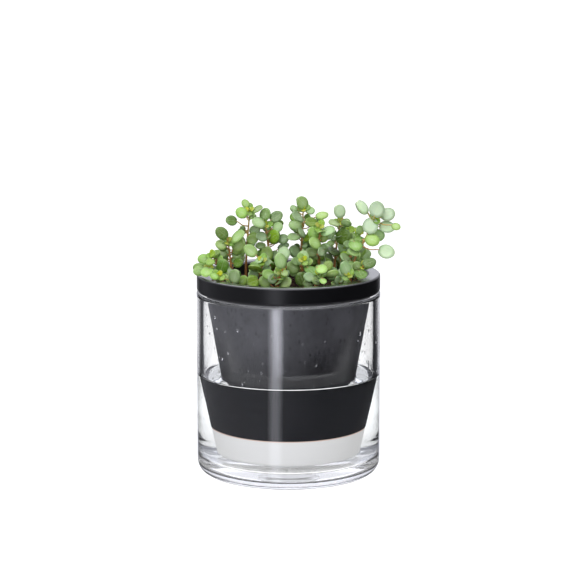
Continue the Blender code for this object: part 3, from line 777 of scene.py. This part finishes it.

# The solids' own layout: the root as shares of the soil's radius, the tip as across, height over the lip
# and depth, and the leaves as across, height and radius, in units of the layout, which are millimetres for
# a mouth of layoutMouth. A leaf's last word is its colour; dark and darkest are painted shade.
plants = {
    "plant_tall_left": {"root": (-0.56, 0.30), "tip": (-25, 40, 14), "leaves": [
        (-27.5, 45, 2.8), (-20, 41.5, 3.6), (-30, 39, 3.6), (-36.5, 34, 3.4, "dark"), (-29.5, 29, 2.0),
        (-23.5, 21.5, 3.6), (-23, 36.5, 2.4)]},
    "plant_left": {"root": (-0.74, 0.08), "tip": (-38.5, 19, 4), "leaves": [
        (-42.5, 25.5, 4.2, "dark"), (-32.5, 23.5, 4.8, "fresh"), (-43, 18, 3.4), (-41.5, 13, 4.3),
        (-32, 17.5, 4.5), (-32.5, 9, 4.9)]},
    "plant_far_left": {"root": (-0.86, -0.12), "tip": (-48, 10.5, -4), "leaves": [
        (-53.5, 8.5, 4.0, "fresh"), (-48.5, 12, 2.4), (-45.5, 10.5, 2.4), (-49.5, 7, 3.4)]},
    "plant_over_rim": {"root": (-0.82, -0.32), "tip": (-50.5, 2, -13), "leaves": [
        (-56.5, 1, 3.8, "fresh"), (-51.5, 0.5, 4.2, "fresh"), (-42, 3.5, 4.4), (-46.5, 4.5, 3.2)]},
    "plant_front_left": {"root": (-0.66, -0.52), "tip": (-44, -3, -26), "leaves": [
        (-46.5, -2.5, 2.8), (-42.5, -3.5, 3.0), (-34, -3, 4.4), (-38.5, -4.5, 3.4), (-29, -5.5, 3.6)]},
    "plant_second": {"root": (-0.24, 0.26), "tip": (-14.5, 30, 12), "leaves": [
        (-19, 32.5, 4.3), (-15, 36, 3.8), (-14, 29.5, 2.8), (-8, 36.5, 4.1, "dark"), (-9.5, 23.5, 4.3),
        (-17, 23.5, 3.5), (-7, 29.5, 3.5), (-14, 12, 4.5), (-3.5, 22, 3.3), (-3.5, 17, 3.7)]},
    "plant_mid_left": {"root": (-0.36, -0.20), "tip": (-16.5, 7, -13), "leaves": [
        (-21, 2.5, 4.4), (-18.5, 8, 2.6), (-14.5, 7.5, 2.6), (-24, 14, 4.4), (-16.5, 3, 2.6),
        (-22.5, -6, 4.3)]},
    "plant_front": {"root": (-0.16, -0.56), "tip": (-4.5, -1, -30), "leaves": [
        (-5, 7, 4.6), (-12.5, -1.5, 3.8), (-7, -0.5, 2.5), (-2.5, -0.5, 2.5), (-2, -7, 3.9),
        (-14.5, -6, 3.7), (-3, 12, 3.7)]},
    "plant_tallest": {"root": (0.16, 0.34), "tip": (9.5, 41, 16), "leaves": [
        (9, 45.5, 4.4, "fresh"), (14, 41, 3.2), (3.5, 42, 2.4), (6, 36.5, 4.6), (4.5, 31, 4.0),
        (14.5, 33, 3.8), (21.5, 37.5, 3.8), (19, 32.5, 3.8), (8.5, 26, 3.6), (3.5, 23.5, 4.1),
        (4.5, 14, 4.0)]},
    "plant_middle": {"root": (0.40, 0.12), "tip": (20, 29, 4), "leaves": [
        (16, 25.5, 4.4), (25, 27, 4.4), (17, 19, 4.5), (22.5, 18, 3.9), (15, 13, 3.6), (21, 13.5, 3.4)]},
    "plant_mid_front": {"root": (0.16, -0.28), "tip": (9, 7, -17), "leaves": [
        (3, 3, 4.3), (9, 9, 4.4), (8.5, -4.5, 4.2), (15, 1, 4.8)]},
    "plant_right": {"root": (0.60, 0.30), "tip": (33, 32, 13), "leaves": [
        (33, 40, 4.0, "pale"), (29.5, 32.5, 3.7), (37, 32, 3.8), (33.5, 29.5, 2.4),
        (35, 23.5, 4.9, "darkest"), (39.5, 28, 3.2), (29, 14, 4.0, "darkest"), (25.5, 9, 3.8)]},
    "plant_mid_right": {"root": (0.74, 0.02), "tip": (45, 25, 2), "leaves": [
        (45.5, 27.5, 3.4), (42.5, 17.5, 4.8), (46, 14, 3.6), (37, 9, 4.3), (41.5, 10.5, 3.8)]},
    "plant_far_right": {"root": (0.80, -0.16), "tip": (55, 34, -6), "leaves": [
        (47, 42, 4.6, "pale"), (56, 40.5, 4.8, "pale"), (63, 37.5, 4.3, "pale"), (55.5, 34.5, 2.6),
        (52, 30, 4.8, "pale"), (62.5, 29.5, 4.7, "pale"), (68, 29.5, 2.8), (57, 24, 3.8), (53, 21, 4.4),
        (62, 13.5, 4.9, "pale")]},
    "plant_right_rim": {"root": (0.84, -0.34), "tip": (47, 3, -17), "leaves": [
        (51, 6, 4.1, "dark"), (45.5, -1, 4.2), (43.5, 4, 3.0)]},
    "plant_front_right": {"root": (0.62, -0.56), "tip": (37.5, -3, -29), "leaves": [
        (36, 2, 4.6), (36, -3.5, 2.4), (39.5, -3.5, 2.6), (32, -6, 3.4), (27.5, -1, 4.0)]},
    "plant_front_mid": {"root": (0.34, -0.62), "tip": (19.5, -1, -33), "leaves": [
        (24.5, 4, 3.2), (20.5, 2, 3.5), (17.5, -5.5, 2.6), (21.5, -5.5, 2.4)]},
    "plant_back_left": {"root": (-0.20, 0.72), "tip": (-8, 8, 34), "leaves": [
        (-12, 8, 4.0), (-4, 9, 4.0), (-13, 4, 4.2), (-2, 4, 4.2)]},
    "plant_back": {"root": (0.24, 0.76), "tip": (16, 12, 36), "leaves": [
        (12, 12, 4.0), (20, 11, 4.0), (10, 7, 4.2), (22, 6, 4.2)]},
    "plant_back_right": {"root": (0.56, 0.62), "tip": (35, 9, 32), "leaves": [
        (31, 10, 4.0), (39, 9, 4.0), (28, 5, 4.2), (41, 4, 4.2)]},
    "plant_back_middle": {"root": (0.30, 0.52), "tip": (19, 24, 26), "leaves": [
        (15, 24, 3.8), (23, 24, 3.8), (13, 18, 4.2), (25, 17, 4.2), (16, 12, 4.2), (24, 11, 4.2)]},
    "plant_right_back": {"root": (0.80, 0.26), "tip": (42, 22, 13), "leaves": [
        (38, 22, 3.8), (46, 21, 3.8), (36, 16, 4.2), (49, 12, 4.2), (44, 8, 4.0)]},
}


def soilHeight(radius):
    share = radius / potBore(soilZ)
    return soilZ + soilCrown * (1 - share * share)


class Blade:
    # a round leaf, as a flat disc
    def __init__(self, centre, normal, radius, along, tone=None):
        self.centre, self.normal, self.radius = centre, normal, radius
        self.along, self.tone = along, tone
        self.half = plantRules["leafHalf"]

    def nearest(self, point):
        away = point - self.centre
        away -= self.normal * away.dot(self.normal)
        if away.length > self.radius:
            away *= self.radius / away.length
        return self.centre + away


class Rod:
    # a straight stretch of a stem, or a leaf's stalk
    def __init__(self, start, end, half):
        self.start, self.end, self.half = start, end, half
        self.centre = (start + end) / 2
        self.radius = (end - start).length / 2

    def nearest(self, point):
        along = self.end - self.start
        share = (point - self.start).dot(along) / along.length_squared
        return self.start + along * min(1, max(0, share))


def gapBetween(first, second):
    betweenBalls = (first.centre - second.centre).length - first.radius - second.radius
    if betweenBalls > first.half + second.half + plantRules["leafGap"]:
        return betweenBalls
    here = first.centre
    for _ in range(16):
        there = second.nearest(here)
        here = first.nearest(there)
    return (here - there).length - first.half - second.half


def apart(piece, others):
    return all(gapBetween(piece, other) > plantRules["leafGap"] for other in others)


def clearOfPot(blade):
    side = blade.normal.orthogonal().normalized()
    margin = 2 * plantRules["leafGap"]
    for i in range(16):
        turn = Matrix.Rotation(math.tau * i / 16, 3, blade.normal)
        point = blade.centre + turn @ side * blade.radius
        radius = math.hypot(point.x, point.y)
        if radius < mouthRadius - margin:
            lowest = soilHeight(radius)
        elif radius < pot["flangeRadius"] + margin:
            lowest = pot["lip"]
        else:
            lowest = glass["height"]
        if point.z < lowest + margin:
            return False
    return True


def fromLayout(across, height, depth):
    rise = height - plantRules["sightSlope"] * depth
    return Vector((across, depth, rise)) * layoutUnit + Vector((0, 0, pot["lip"]))


def stemPath(plant):
    # straight out of the soil, then a curve to the tip
    soilRadius = potBore(soilZ)
    root = Vector((plant["root"][0] * soilRadius, plant["root"][1] * soilRadius, 0))
    root.z = soilHeight(math.hypot(root.x, root.y)) + plantRules["stemRise"]
    tip = fromLayout(*plant["tip"])
    low = root + Vector((0, 0, (tip - root).length * plantRules["bendLow"]))
    high = tip - (tip - root) * plantRules["bendHigh"]
    path = [root - Vector((0, 0, plantRules["stemRise"] + plantRules["rootDepth"]))]
    for i in range(plantRules["stemSteps"]):
        t = i / (plantRules["stemSteps"] - 1)
        path.append(root * (1 - t) ** 3 + low * 3 * t * (1 - t) ** 2
                    + high * 3 * t * t * (1 - t) + tip * t ** 3)
    return path


def stemRods(path):
    return [Rod(start, end, plantRules["stemRadius"]) for start, end in zip(path, path[1:])]


def leafAt(path, centre, radius, facing):
    # a leaf and its stalk, from the stem's nearest point a little lower than the leaf
    low = centre - Vector((0, 0, radius))
    node = min((rod.nearest(low) for rod in stemRods(path)[1:]), key=lambda point: (point - low).length)
    reach = (centre - node).normalized()
    normal = (facing - reach * facing.dot(reach) * plantRules["square"]).normalized()
    along = reach - normal * reach.dot(normal)
    stalkEnd = centre - along * radius * (1 - plantRules["stalkIntoLeaf"])
    return Blade(centre, normal, radius, along), Rod(node, stalkEnd, plantRules["stalkRadius"])


def leafFacing(centre, towards, number):
    outward = Vector((centre.x, centre.y, 0)).normalized() * plantRules["outward"]
    turn = number * plantRules["goldenAngle"]
    astray = Vector((math.cos(turn), 0, math.sin(turn))) * plantRules["astray"]
    return (Vector((0, 0, plantRules["leafUp"])) + outward + towards + astray).normalized()


def giveWay(path, centre, radius, towards, number, own, others):
    # the leaf nearest to its place in the layout that touches nothing but its own stem
    ownBlades = [blade for blade, stalk in own]
    ownRods = [stalk for blade, stalk in own] + stemRods(path)
    sight = Vector((0, 1, -plantRules["sightSlope"])) * plantRules["giveWay"]
    for lift in range(plantRules["giveWayLifts"]):
        for i in range(plantRules["giveWaySteps"]):
            steps = (i + 1) // 2 * (1 if i % 2 else -1)
            place = centre + sight * steps + Vector((0, 0, lift * plantRules["giveWay"]))
            blade, stalk = leafAt(path, place, radius, leafFacing(place, towards, number))
            if (clearOfPot(blade) and apart(blade, ownBlades + ownRods + others)
                    and apart(stalk, ownBlades + others)):
                return blade, stalk
    return None


def growPlants():
    paths = {name: stemPath(plant) for name, plant in plants.items()}
    stems = {name: stemRods(path) for name, path in paths.items()}
    grown = {name: [] for name in plants}
    for name, plant in plants.items():
        others = [rod for other, rods in stems.items() if other != name for rod in rods]
        for other in grown:
            if other != name:
                others += [piece for pair in grown[other] for piece in pair]
        for number, (across, height, radius, *tone) in enumerate(plant["leaves"]):
            path = paths[name]
            level = fromLayout(across, height, 0).z
            beside = min(path[1:], key=lambda point: abs(point.z - level))
            wander = math.sin(number * plantRules["goldenAngle"] + across)
            forward = plantRules["leafForward"] + plantRules["leafSpread"] * wander
            depths = [beside.y - forward]
            if number % 2 == 0:
                depths.append(beside.y + forward)
            for depth, side in zip(depths, (plantRules["toFront"], plantRules["toBack"])):
                place = fromLayout(across, height, depth / layoutUnit)
                size = radius * plantRules["leafGrowth"] * layoutUnit
                found = giveWay(path, place, size, side, number, grown[name], others)
                if found:
                    found[0].tone = tone[0] if tone else None
                    grown[name].append(found)
    return paths, grown


leaf = {
    "sides": 18,
    "thick": 0.12,           # shares of the leaf's radius, down to the tip's
    "cup": 0.12,
    "rimRound": 0.07,
    "rimWidth": 0.34,
    "notch": 0.09,
    "tip": 0.04,
    "towardsLight": 0.35,    # how far a leaf turns to the light from the way its solid lies
    "growth": 1.06,          # over its solid
    "narrow": (0.82, 1.05),  # a leaf's width over its length
    "tilt": 24,              # degrees that a leaf turns about its own midrib
    "smallLeaves": 12,       # on each plant, beside the solids' own leaves
    "smallAt": (0.25, 0.95),     # shares of the stem's height
    "smallSize": (1.8 * mm, 3.8 * mm),
    "budSize": 2.5 * mm,
    "budForward": 2.6 * mm,
    "budLeaves": ((1.0, 0.25), (1.0, 0.25), (0.72, 0.6), (0.72, 0.6), (0.42, 1.6)),  # sizes, and how steep
}

stem = {
    "sides": 2,              # of a quarter of its bevel
    "steps": 5,              # from one point of its path to the next
    "taper": [1.0, 1.0, 0.92, 0.80, 0.66, 0.50],
    "stalkSag": 0.10,        # share of the stalk's length
    "stalkAtRim": 0.92,      # shares of the leaf's radius: where it comes under the leaf, and where it ends
    "stalkEnd": 0.70,
    "fibre": (0.15, 0.055, 0.020),
    "colours": [             # from the soil up
        (0.0, (0.50, 0.215, 0.070)), (0.35, (0.68, 0.360, 0.125)), (0.62, (0.68, 0.46, 0.170)),
        (0.85, (0.45, 0.42, 0.13)), (1.0, (0.42, 0.50, 0.14))],
}

# each leaf colour, and where it stands on the leaves' ramp
leafTones = {
    "young": (0.0, (0.53, 0.57, 0.025)),
    "lime": (0.14, (0.17, 0.35, 0.010)),
    "fresh": (0.30, (0.39, 0.59, 0.165)),
    "green": (0.45, (0.21, 0.39, 0.048)),
    "silver": (0.60, (0.35, 0.53, 0.240)),
    "pale": (0.76, (0.70, 0.86, 0.61)),
    # painted shade: leaves in shadow take the two dark tones
    "dark": (0.90, (0.095, 0.205, 0.012)),
    "darkest": (1.0, (0.060, 0.125, 0.010)),
}
leafMarks = {
    "frost": (0.60, 0.70, 0.52),
    "veins": (0.74, 0.86, 0.50),
    # painted sheen, whiter towards a light leaf's middle
    "bloom": (0.62, 0.77, 0.50),
    "shade": (0.08, 0.20, 0.025),    # painted shade, just inside the rim
}
# a dark one among the usual tones is painted shade
usualTones = ["silver", "silver", "silver", "green", "fresh", "fresh", "dark", "lime"]


def leafShape(name, cup):
    # a fleshy round pad with a radius of 1 and its stalk end at -Y
    cylinder = bpy.ops.mesh.primitive_cylinder_add
    shape = begin(cylinder, vertices=leaf["sides"], radius=1, depth=leaf["thick"])
    bpy.ops.object.mode_set(mode="EDIT")
    for side in (1, -1):
        pick(lambda co: co.z * side > 0)
        bpy.ops.transform.resize(value=(1 - leaf["rimRound"], 1 - leaf["rimRound"], 1))
    pick(lambda co: co.z > 0)
    bpy.ops.mesh.inset(thickness=leaf["rimWidth"])
    bpy.ops.transform.translate(value=(0, 0, -cup * 0.5))
    bpy.ops.mesh.poke()
    pick(lambda co: co.z < -0.4 * leaf["thick"] and math.hypot(co.x, co.y) > 0.8)
    bpy.ops.mesh.poke()
    pick(lambda co: math.hypot(co.x, co.y) < 0.01)
    bpy.ops.transform.translate(value=(0, 0, -cup))
    pick(lambda co: co.y < -0.85 and abs(co.x) < 0.1)
    bpy.ops.transform.translate(value=(0, leaf["notch"], -cup * 0.4))
    pick(lambda co: co.y > 0.85)
    bpy.ops.transform.translate(value=(0, leaf["tip"], -cup * 0.5))
    bpy.ops.mesh.select_all(action="SELECT")
    bpy.ops.transform.resize(value=(0.97, 1.03, 1))
    bpy.ops.mesh.normals_make_consistent(inside=False)
    bpy.ops.object.mode_set(mode="OBJECT")
    bpy.ops.object.shade_smooth()
    shape.name = shape.data.name = name
    face = shape.data.uv_layers.new(name="leafFace")
    shape.data.uv_layers.new(name="leafTone")
    for loop in shape.data.loops:
        co = shape.data.vertices[loop.vertex_index].co
        face.data[loop.index].uv = (0.5 + 0.5 * co.x, 0.5 + 0.5 * co.y)
    return shape


def layLeaf(shape, blade, tone, chance, narrow=1.0):
    # a copy of the leaf, on the blade's place
    made = copied(shape)
    along, normal = blade.along.normalized(), blade.normal
    normal = (normal - along * normal.dot(along)).normalized()
    turn = Matrix((along.cross(normal), along, normal)).transposed().to_4x4()
    radius = blade.radius * leaf["growth"]
    size = Matrix.Diagonal((radius * narrow, radius, radius, 1))
    made.matrix_world = Matrix.Translation(blade.centre) @ turn @ size
    tones = made.data.uv_layers["leafTone"].data
    tones.foreach_set("uv", [tone, chance] * len(tones))
    return made


def leafPaint():
    paint = Paint("roundLeaf", Subsurface_Weight=0.15, Subsurface_Scale=0.0009, Specular_IOR_Level=0.30)
    paint.shader.inputs["Subsurface Radius"].default_value = (0.5, 1.0, 0.2)
    across, along, _ = paint.split(paint.node("UVMap", uv_map="leafFace"))
    tone, chance, _ = paint.split(paint.node("UVMap", uv_map="leafTone"))
    x, y = across * 2 - 1, along * 2 - 1
    radius = (x * x + y * y) ** 0.5
    place = paint.place()
    colour = paint.node("ValToRGB", {0: tone}, stops=list(leafTones.values()))
    mottle = paint.noise(place, 900.0, 4.0, 0.6)
    frost = paint.between(mottle, 0.42, 0.66) * 0.14
    colour = paint.blend(frost, colour, leafMarks["frost"])
    otherChance = (chance * 7.31).maths("FRACT")
    colour = paint.node("HueSaturation", {
        "Color": colour,
        "Hue": paint.between(otherChance, 0, 1, 0.488, 0.508),
        "Saturation": paint.between(chance, 0, 1, 0.88, 1.12),
        "Value": paint.between(chance, 0, 1, 0.80, 1.18)})
    nerve = paint.between(x.maths("ABSOLUTE"), 0.015, 0.075, 1, 0)
    bow = (1 - y * y) * 0.36 + 0.03
    sideNerve = paint.between((x.maths("ABSOLUTE") - bow).maths("ABSOLUTE"), 0.010, 0.060, 1, 0)
    cells = paint.node("TexVoronoi", {"Vector": paint.node("UVMap", uv_map="leafFace"), "Scale": 9.0},
                       feature="DISTANCE_TO_EDGE", out="Distance")
    net = paint.between(cells, 0.02, 0.10, 1, 0)
    rim = paint.between(radius, 0.84, 0.97)
    veins = (nerve * 0.34).maths("MAXIMUM", sideNerve * 0.16).maths("MAXIMUM", net * 0.12)
    paler = paint.blend(0.55, colour, leafMarks["veins"])
    colour = paint.blend(veins.maths("MAXIMUM", rim * 0.35), colour, paler)
    # painted sheen: a light leaf is whiter towards its middle
    bloom = paint.between(radius + mottle * 0.4, 0.25, 0.85, 0.32, 0)
    lightLeaf = paint.between(tone, 0.20, 0.28) * paint.between(tone, 0.86, 0.80)    # not lime, not dark
    bloom = bloom * lightLeaf
    colour = paint.blend(bloom, colour, leafMarks["bloom"])
    # painted shade in a ring just inside the rim
    inner = paint.between(radius, 0.55, 0.86) * paint.between(radius, 0.98, 0.88)
    paint.set(Base_Color=paint.blend(inner * 0.34, colour, leafMarks["shade"]))
    paint.set(Roughness=paint.between(mottle, 0.3, 0.7, 0.30, 0.48))
    paint.set(Normal=paint.bump(veins * -0.7 + mottle * 0.4, 0.4, 0.0004))
    return paint.material


def stemPaint():
    paint = Paint("stem", Roughness=0.45, Subsurface_Weight=0.08, Subsurface_Scale=0.0006)
    place = paint.place()
    _, _, z = paint.split(place)
    patches = paint.noise(place, 170.0, 3.0)
    height = paint.between(z + patches * 0.03, 0.145, 0.195)
    colour = paint.node("ValToRGB", {0: height}, stops=stem["colours"])
    fibre = paint.noise(paint.stretch(place, (1, 1, 0.15)), 3000.0, 2.0)
    paint.set(Base_Color=paint.blend(fibre * 0.2, colour, stem["fibre"]))
    paint.set(Normal=paint.bump(fibre, 0.3, 0.0003))
    return paint.material


def addSpline(curve, points, radii):
    spline = curve.splines.new("BEZIER")
    spline.bezier_points.add(len(points) - 1)
    for knot, place, radius in zip(spline.bezier_points, points, radii):
        knot.co = place
        knot.radius = radius
        knot.handle_left_type = knot.handle_right_type = "AUTO"


def addStems(path, blades, bud, material):
    # the stem and its leaf stalks are one bevelled curve, made a mesh
    curve = begin(bpy.ops.curve.primitive_bezier_curve_add).data
    curve.splines.clear()
    curve.dimensions = "3D"
    curve.bevel_depth = plantRules["stemRadius"]
    curve.bevel_resolution = stem["sides"]
    curve.resolution_u = stem["steps"]
    curve.use_fill_caps = True
    addSpline(curve, path, stem["taper"])
    thin = plantRules["stalkRadius"] / plantRules["stemRadius"]
    tip = path[-1]
    addSpline(curve, [tip, (tip + bud) / 2 + Vector((0, 0, 0.3 * mm)), bud], [stem["taper"][-1], 0.4, thin])
    for blade, node in blades:
        along, under = blade.along.normalized() * blade.radius, blade.normal * mm
        edge = blade.centre - along * stem["stalkAtRim"]
        sag = (edge - node).length * stem["stalkSag"]
        middle = (node + edge) / 2 - Vector((0, 0, sag))
        end = blade.centre - along * stem["stalkEnd"] - under * 0.30
        addSpline(curve, [node, middle, edge - under * 0.20, end], [thin * 1.4, thin, thin, thin * 0.7])
    bpy.ops.object.convert(target="MESH")
    stems = bpy.context.object
    stems.data.materials.clear()
    stems.data.materials.append(material)
    bpy.ops.object.shade_smooth()
    return stems


def outwards(point):
    # the light side of the plants: to the front for most, to the back for those behind
    return Vector((0, 1 if point.y > 20 * mm else -1, 0))


def budBlades(bud, number):
    # a rosette of young leaves at the tip of a stem: two crossed pairs and a bead
    axis = (outwards(bud) * 0.8 + Vector((0, 0, 0.6))).normalized()
    side = axis.cross(Vector((1, 0, 0))).normalized()
    made = []
    for i, (size, rise) in enumerate(leaf["budLeaves"]):
        turn = Matrix.Rotation(math.pi * (i % 2) + math.pi / 2 * (i // 2) + number, 3, axis)
        along = (turn @ side + axis * rise).normalized()
        radius = leaf["budSize"] * size
        centre = bud + along * radius * 0.95 + axis * 0.2 * mm * i
        made.append(Blade(centre, axis, radius, along, "young" if i > 1 else "lime"))
    return made


def smallBlades(path, rng):
    # little side leaves up the stem, where they are clear of the pot and the soil
    made = []
    for _ in range(leaf["smallLeaves"]):
        share = rng.uniform(*leaf["smallAt"]) * (len(path) - 2)
        step = int(share)
        node = path[1 + step].lerp(path[min(2 + step, len(path) - 1)], share - step)
        turn = rng.uniform(0, math.tau)
        away = Vector((math.cos(turn), math.sin(turn) * 0.8 - 0.3, rng.uniform(-0.1, 0.6))).normalized()
        radius = rng.uniform(*leaf["smallSize"])
        centre = node + away * radius * 1.5
        lowest = soilZ + soilCrown + radius
        if math.hypot(centre.x, centre.y) < mouthRadius - radius and centre.z > lowest:
            facing = outwards(centre) + Vector((0, 0, rng.uniform(0.3, 1.2))) + away * 0.3
            made.append((Blade(centre, facing.normalized(), radius, away), node))
    return made


def addPlants():
    paths, grown = growPlants()
    rng = random.Random(4)
    green, brown = leafPaint(), stemPaint()
    shapes = [leafShape("cuppedLeaf", leaf["cup"]), leafShape("domedLeaf", -leaf["cup"] * 0.5)]
    for number, (name, path) in enumerate(paths.items()):
        blades = [(blade, stalk.start) for blade, stalk in grown[name]] + smallBlades(path, rng)
        bud = path[-1] + outwards(path[-1]) * leaf["budForward"] + Vector((0, 0, 0.5 * leaf["budForward"]))
        stems = addStems(path, blades, bud, brown)
        laid = []
        for i, (blade, _) in enumerate(blades):
            tone, _ = leafTones[blade.tone or rng.choice(usualTones)]
            side = outwards(blade.centre)
            if blade.normal.dot(side) > -0.1:
                blade.normal = (blade.normal + side * leaf["towardsLight"]).normalized()
            tilt = math.radians(rng.uniform(-leaf["tilt"], leaf["tilt"]))
            blade.normal = Matrix.Rotation(tilt, 3, blade.along) @ blade.normal
            laid.append(layLeaf(shapes[i % 3 == 0], blade, tone + rng.uniform(-0.04, 0.04), rng.random(),
                                rng.uniform(*leaf["narrow"])))
        for blade in budBlades(bud, number):
            tone, _ = leafTones[blade.tone]
            laid.append(layLeaf(shapes[0], blade, tone + rng.uniform(0, 0.05), rng.random()))
        for one in laid:
            one.data.materials.append(green)
        join([stems, *laid])
        first, *words = name.split("_")
        camelName = first + "".join(word.capitalize() for word in words)
        settle(stems, camelName, "potted_plant", name, slot="leaf")
    for shape in shapes:
        bpy.data.objects.remove(shape)


addPlants()
print("Plants")


# Potting soil

soil = {
    "rings": 24,
    "steps": 96,
    "crumbs": 420,
    "crumbSize": (0.35 * mm, 1.3 * mm),
    "rough": 0.9 * mm,
    "gap": 0.05 * mm,           # to the pot
    "fibre": (0.16, 0.085, 0.045),
    "colours": [                # from the hollows to the lumps; the hollows' near-black is partly painted shade
        (0.30, (0.004, 0.002, 0.001)), (0.50, (0.014, 0.006, 0.003)), (0.62, (0.050, 0.022, 0.009)),
        (0.78, (0.13, 0.065, 0.030))],
}


def soilPaint():
    paint = Paint("pottingSoil", Roughness=0.95, Specular_IOR_Level=0.15)
    place = paint.place()
    lumps = paint.noise(place, 700.0, 5.0, 0.65)
    fibres = paint.noise(paint.stretch(place, (1, 0.2, 1)), 1500.0, 3.0)
    # the colour follows the bump's lumps: partly the soil's own, partly painted shade in its hollows
    colour = paint.node("ValToRGB", {0: lumps}, stops=soil["colours"])
    paint.set(Base_Color=paint.blend(paint.between(fibres, 0.64, 0.74), colour, soil["fibre"]))
    paint.set(Normal=paint.bump(lumps, 0.9, 0.0012))
    return paint.material


def crumbShape():
    crumb = begin(bpy.ops.mesh.primitive_ico_sphere_add, subdivisions=1, radius=1)
    bpy.ops.object.mode_set(mode="EDIT")
    bpy.ops.mesh.select_all(action="SELECT")
    bpy.ops.transform.vertex_random(offset=0.28, seed=3)
    bpy.ops.object.mode_set(mode="OBJECT")
    bpy.ops.object.shade_smooth()
    return crumb


def addSoil():
    rim = potBore(soilZ) - soil["gap"]
    floor = pot["floor"] + soil["gap"]
    crown = [rim * i / soil["rings"] for i in range(soil["rings"] - 1, -1, -1)]
    lathe([(0, floor, 0), (potBore(floor) - soil["gap"], floor, 0), (rim, soilZ, 0),
           *((radius, soilHeight(radius), 0) for radius in crown)], soil["steps"])
    ground = newPiece("pottingSoil", soilPaint(), "potted_plant", "potting_soil", slot="soil")
    rng = random.Random(11)
    for vertex in ground.data.vertices:
        radius = math.hypot(vertex.co.x, vertex.co.y)
        if vertex.co.z > soilZ - 0.1 * mm and radius < rim * 0.99:
            vertex.co.z += rng.uniform(-soil["rough"], soil["rough"] * 0.4)
    crumb = crumbShape()
    laid = []
    for _ in range(soil["crumbs"]):
        radius = rim * 0.965 * math.sqrt(rng.random())
        turn = rng.uniform(0, math.tau)
        size = rng.uniform(*soil["crumbSize"]) * rng.uniform(0.5, 1.0)
        made = copied(crumb)
        made.location = (radius * math.cos(turn), radius * math.sin(turn), soilHeight(radius) + size * 0.1)
        made.rotation_euler = [rng.uniform(0, math.tau) for _ in range(3)]
        made.scale = (size, size * rng.uniform(0.5, 1.0), size * rng.uniform(0.4, 0.9))
        laid.append(made)
    bpy.data.objects.remove(crumb)
    join(laid)
    newPiece("soilCrumbs", ground.data.materials[0], "potted_plant", slot="soil")


addSoil()
print("Potting soil")
